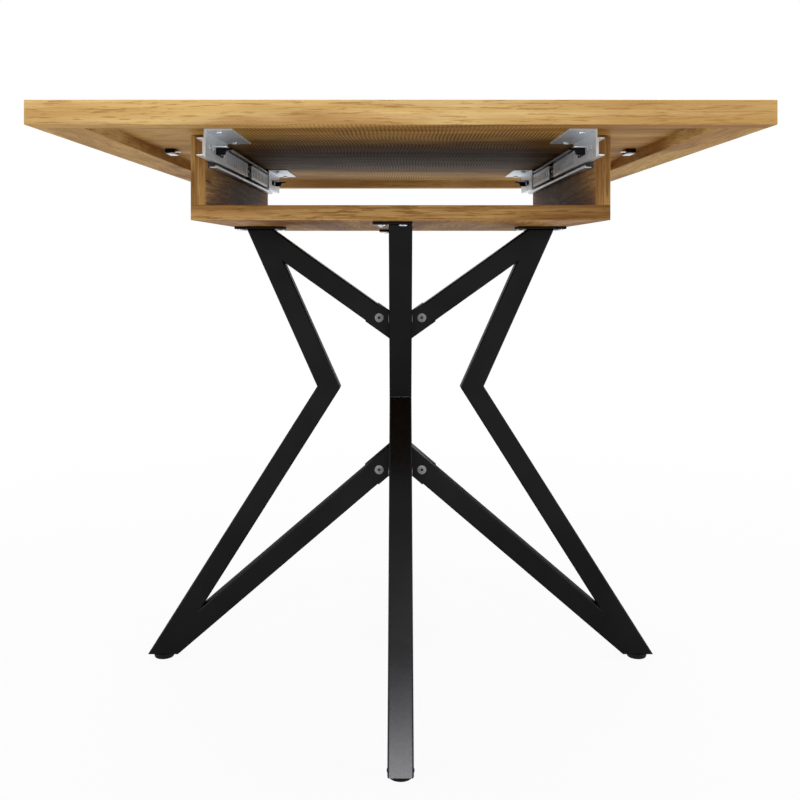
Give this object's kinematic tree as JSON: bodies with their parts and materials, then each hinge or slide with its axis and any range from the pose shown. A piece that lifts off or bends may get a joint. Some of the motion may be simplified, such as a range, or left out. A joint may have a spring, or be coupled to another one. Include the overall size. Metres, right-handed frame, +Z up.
{
  "type": "extending dining table",
  "caption": "Extending dining table with a split oak top on geared ball slides over an open leaf box, carried by star-shaped black steel leg frames.",
  "frame": {"origin": "on the floor, under the middle of the closed table", "axes": "+Z up, +Y along the table towards its rear half, the way the halves slide apart, +X across the table to the right"},
  "size_m": [0.75, 1, 0.75],
  "materials": {
    "oak_top": "satin lacquered oak veneer, light golden",
    "oak_edge": "satin lacquered oak, a little darker underneath",
    "black_steel": "matt black powder coat, fine texture",
    "zinc": "bright zinc plated sheet steel",
    "black_plastic": "matt moulded black plastic",
    "beech": "plain beech dowel"
  },
  "bodies": {
    "base": {"box_floor": "oak_edge", "side_panel_left": "oak_edge", "side_panel_right": "oak_edge", "box_dowels": "beech", "rail_left": "zinc", "rail_right": "zinc", "rail_screws": "zinc", "pinion_pins": "zinc", "leg_frame_front": "black_steel", "leg_frame_rear": "black_steel", "leg_frame_left": "black_steel", "leg_frame_right": "black_steel", "leg_plates": "black_steel", "plate_bolts": "zinc", "hub_post": "black_steel", "hub_sleeves": "black_steel", "hub_bolts": "zinc", "glides": "black_plastic"},
    "front_half": {"top_board_front": "oak_top", "end_strip_front": "oak_edge", "side_strip_front_left": "oak_edge", "side_strip_front_right": "oak_edge", "bracket_front_left": "zinc", "bracket_front_right": "zinc", "runner_front_left": "zinc", "runner_front_right": "zinc", "rack_front_left": "zinc", "rack_front_right": "zinc", "bracket_screws_front": "zinc", "rivets_front": "zinc", "fitting_blocks_front": "black_plastic", "fitting_plates_front": "zinc", "lever_pins_front": "zinc", "seam_dowels": "beech"},
    "rear_half": {"top_board_rear": "oak_top", "end_strip_rear": "oak_edge", "side_strip_rear_left": "oak_edge", "side_strip_rear_right": "oak_edge", "bracket_rear_left": "zinc", "bracket_rear_right": "zinc", "runner_rear_left": "zinc", "runner_rear_right": "zinc", "rack_rear_left": "zinc", "rack_rear_right": "zinc", "bracket_screws_rear": "zinc", "rivets_rear": "zinc", "fitting_blocks_rear": "black_plastic", "fitting_plates_rear": "zinc", "lever_pins_rear": "zinc"},
    "pinion_left_body": {"pinion_left": "black_plastic"},
    "pinion_right_body": {"pinion_right": "black_plastic"},
    "cages_front_body": {"ball_cages_front": "black_plastic", "balls_front": "zinc"},
    "cages_rear_body": {"ball_cages_rear": "black_plastic", "balls_rear": "zinc"},
    "lever_front_left_body": {"lever_front_left": "black_plastic"},
    "lever_front_right_body": {"lever_front_right": "black_plastic"},
    "lever_rear_left_body": {"lever_rear_left": "black_plastic"},
    "lever_rear_right_body": {"lever_rear_right": "black_plastic"}
  },
  "joints": [
    {"name": "front_half_slide", "type": "slide", "parent": "base", "child": "front_half", "axis": [0, -1, 0], "range_m": [0, 0.2]},
    {"name": "rear_half_slide", "type": "slide", "parent": "base", "child": "rear_half", "axis": [0, 1, 0], "range_m": [0, 0.2]},
    {"name": "pinion_left_turn", "type": "hinge", "parent": "base", "child": "pinion_left_body", "pos_m": [-0.228, 0, 0.7185], "axis": [1, 0, 0], "range_deg": [0, 2292]},
    {"name": "pinion_right_turn", "type": "hinge", "parent": "base", "child": "pinion_right_body", "pos_m": [0.228, 0, 0.7185], "axis": [1, 0, 0], "range_deg": [0, 2292]},
    {"name": "cages_front_slide", "type": "slide", "parent": "base", "child": "cages_front_body", "axis": [0, -1, 0], "range_m": [0, 0.1]},
    {"name": "cages_rear_slide", "type": "slide", "parent": "base", "child": "cages_rear_body", "axis": [0, 1, 0], "range_m": [0, 0.1]},
    {"name": "lever_front_left_turn", "type": "hinge", "parent": "front_half", "child": "lever_front_left_body", "pos_m": [-0.2203, -0.264, 0.7195], "axis": [1, 0, 0], "range_deg": [0, 12], "stiffness_Nm_per_rad": 0.05, "springref_deg": -11.46},
    {"name": "lever_front_right_turn", "type": "hinge", "parent": "front_half", "child": "lever_front_right_body", "pos_m": [0.2203, -0.264, 0.7195], "axis": [1, 0, 0], "range_deg": [0, 12], "stiffness_Nm_per_rad": 0.05, "springref_deg": -11.46},
    {"name": "lever_rear_left_turn", "type": "hinge", "parent": "rear_half", "child": "lever_rear_left_body", "pos_m": [-0.2203, 0.264, 0.7195], "axis": [-1, 0, 0], "range_deg": [0, 12], "stiffness_Nm_per_rad": 0.05, "springref_deg": -11.46},
    {"name": "lever_rear_right_turn", "type": "hinge", "parent": "rear_half", "child": "lever_rear_right_body", "pos_m": [0.2203, 0.264, 0.7195], "axis": [-1, 0, 0], "range_deg": [0, 12], "stiffness_Nm_per_rad": 0.05, "springref_deg": -11.46}
  ],
  "couplings": [
    {"joint": "rear_half_slide", "follows": "front_half_slide", "ratio": 1},
    {"joint": "pinion_left_turn", "follows": "front_half_slide", "rad_per_m": 200},
    {"joint": "pinion_right_turn", "follows": "front_half_slide", "rad_per_m": 200},
    {"joint": "cages_front_slide", "follows": "front_half_slide", "ratio": 0.5},
    {"joint": "cages_rear_slide", "follows": "front_half_slide", "ratio": 0.5}
  ]
}
